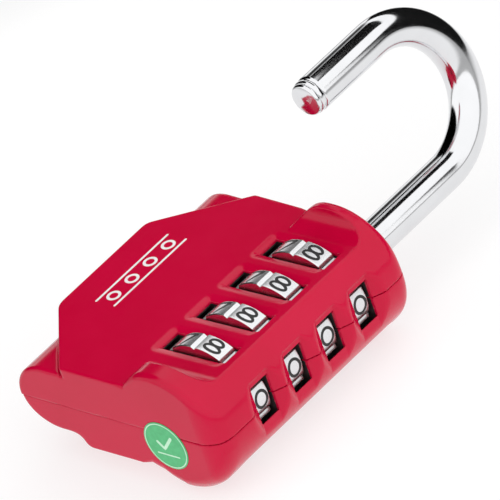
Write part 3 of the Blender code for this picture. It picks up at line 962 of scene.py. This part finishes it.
def make_sticker():
    """A round inspection sticker with a plain tick and a line under it."""
    rings = [
        (0.02, 0.0),
        (STICKER_RADIUS, 0.0),
        (STICKER_RADIUS, STICKER_THICKNESS - 0.03),
        (STICKER_RADIUS - 0.04, STICKER_THICKNESS),
        (0.02, STICKER_THICKNESS),
    ]
    sides = 72
    vertices = []
    for radius, height in rings:
        for side in range(sides):
            turn = 2 * math.pi * side / sides
            place = (radius * math.cos(turn), radius * math.sin(turn))
            vertices.append(on_low_end(*place, height - STICKER_SINK))
    vertices, faces = gather([(vertices, ringed_faces(len(rings), sides))])
    place_piece(
        "sticker_disc",
        vertices,
        faces,
        material="green_sticker",
        body="housing",
        stands_for="quality_sticker",
    )

    def lay(x, y, height):
        return on_low_end(x, y, STICKER_THICKNESS - STICKER_SINK + height)

    strokes = [
        (loop((0, 0), (STICKER_RING_RADIUS, STICKER_RING_RADIUS), 64), True, 0.09),
        (STICKER_TICK, False, 0.26),
        (STICKER_LINE, False, 0.13),
    ]
    parts = [stroke_mesh(points, closed, width, lay) for points, closed, width in strokes]
    vertices, faces = gather(parts)
    place_piece("sticker_print", vertices, faces, "pale_print", "housing")


def make_front_print():
    """A plain white motif where such locks carry a print: four rings between two lines."""

    def lay(x, y, height):
        return (PRINT_PLACE[0] + x, PRINT_PLACE[1] + y, FRONT["plateau"] + height)

    strokes = []
    for x in (-PRINT_LINE["x"], PRINT_LINE["x"]):
        ends = [(x, -PRINT_LINE["half_length"]), (x, PRINT_LINE["half_length"])]
        strokes.append((ends, False, PRINT_LINE["half_width"]))
    radii = (PRINT_RING["radius"], PRINT_RING["radius"])
    for step in range(PRINT_RING["count"]):
        middle = (0, (step - (PRINT_RING["count"] - 1) / 2) * PRINT_RING["pitch"])
        strokes.append((loop(middle, radii, 36), True, PRINT_RING["half_width"]))
    parts = [stroke_mesh(points, closed, width, lay) for points, closed, width in strokes]
    vertices, faces = gather(parts)
    place_piece("front_print", vertices, faces, "white_print", "housing")


def finish_cad_nodes():
    """The inner pieces keep their CAD shape and take a worked metal finish."""
    for part in frame["record"]["subparts"]:
        node = frame["nodes"][part["node"]]
        if not node.hide_render:
            node.data.materials.clear()
            node.data.materials.append(MATERIALS[part["material_slot"]])


# --- Studio ------------------------------------------------------------------------------------------------


def make_floor():
    """A plain pale floor that glows softly around the lock, like a light table."""
    mesh = bpy.data.meshes.new("floor")
    shape = bmesh.new()
    bmesh.ops.create_grid(shape, x_segments=8, y_segments=8, size=FLOOR_HALF_SIZE)
    shape.to_mesh(mesh)
    shape.free()
    material, shader, tree = new_material("floor_white", (0.3, 0.3, 0.3), Roughness=0.7)
    vary_colour(tree, shader, noise_node(tree, 3), (0.29, 0.29, 0.29), (0.31, 0.31, 0.31))
    shader.inputs["Emission Color"].default_value = (1, 1, 1, 1)
    place = tree.nodes.new("ShaderNodeTexCoord")
    distance = tree.nodes.new("ShaderNodeVectorMath")
    distance.operation = "LENGTH"
    fade = tree.nodes.new("ShaderNodeMapRange")
    for socket, value in FLOOR_FADE.items():
        fade.inputs[socket].default_value = value
    tree.links.new(place.outputs["Object"], distance.inputs[0])
    tree.links.new(distance.outputs["Value"], fade.inputs["Value"])
    tree.links.new(fade.outputs["Result"], shader.inputs["Emission Strength"])
    mesh.materials.append(material)
    floor = bpy.data.objects.new("floor", mesh)
    floor.location = (0, 0, -FLOOR_DROP)
    bpy.context.scene.collection.objects.link(floor)


def make_world():
    """A bright dome with a dark patch up to the left, which the flat front reflects instead of white."""
    world = bpy.data.worlds.new("studio")
    world.use_nodes = True
    tree = world.node_tree
    place = tree.nodes.new("ShaderNodeTexCoord")
    toward = tree.nodes.new("ShaderNodeVectorMath")
    toward.operation = "DOT_PRODUCT"
    toward.inputs[1].default_value = DARK_SCREEN
    ramp = tree.nodes.new("ShaderNodeValToRGB")
    ramp.color_ramp.elements[0].position = DARK_FROM
    ramp.color_ramp.elements[0].color = (1, 1, 1, 1)
    ramp.color_ramp.elements[1].position = DARK_TO
    ramp.color_ramp.elements[1].color = (0, 0, 0, 1)
    tree.links.new(place.outputs["Generated"], toward.inputs[0])
    tree.links.new(toward.outputs["Value"], ramp.inputs["Fac"])
    tree.links.new(ramp.outputs["Color"], tree.nodes["Background"].inputs["Color"])
    tree.nodes["Background"].inputs["Strength"].default_value = DOME_STRENGTH
    bpy.context.scene.world = world


def make_flags():
    """Black flags above and behind the bow. Only polished metal and gloss show them."""
    for name, corners in FLAGS.items():
        mesh = bpy.data.meshes.new(name)
        mesh.from_pydata(corners, [], [(0, 1, 2, 3)])
        material, _, _ = new_material(name, FLAG_BLACK, Roughness=0.9, Specular_IOR_Level=0)
        mesh.materials.append(material)
        flag = bpy.data.objects.new(name, mesh)
        flag.visible_camera = False
        flag.visible_diffuse = False
        flag.visible_shadow = False
        bpy.context.scene.collection.objects.link(flag)


def make_camera():
    """A long lens from in front of the bottom end, to the right and above."""
    data = bpy.data.cameras.new("camera")
    data.sensor_width = 36
    data.lens = CAMERA_LENS
    data.clip_start = 0.1
    data.clip_end = 20
    camera = bpy.data.objects.new("camera", data)
    right = Vector(CAMERA_RIGHT).normalized()
    back = Vector(CAMERA_BACK).normalized()
    up = back.cross(right)
    turn = Matrix((right, up, back)).transposed().to_4x4()
    camera.matrix_world = Matrix.Translation(CAMERA_PLACE) @ turn
    bpy.context.scene.collection.objects.link(camera)
    bpy.context.scene.camera = camera


make_half_case("front_shell", FRONT)
make_half_case("back_shell", BACK)
for dial in range(DIAL_COUNT):
    make_dial(dial)
    make_digits(dial)
make_shackle()
make_spring()
make_sticker()
make_front_print()
finish_cad_nodes()
make_floor()
make_world()
make_flags()
make_camera()
bpy.context.scene.view_settings.view_transform = "Standard"
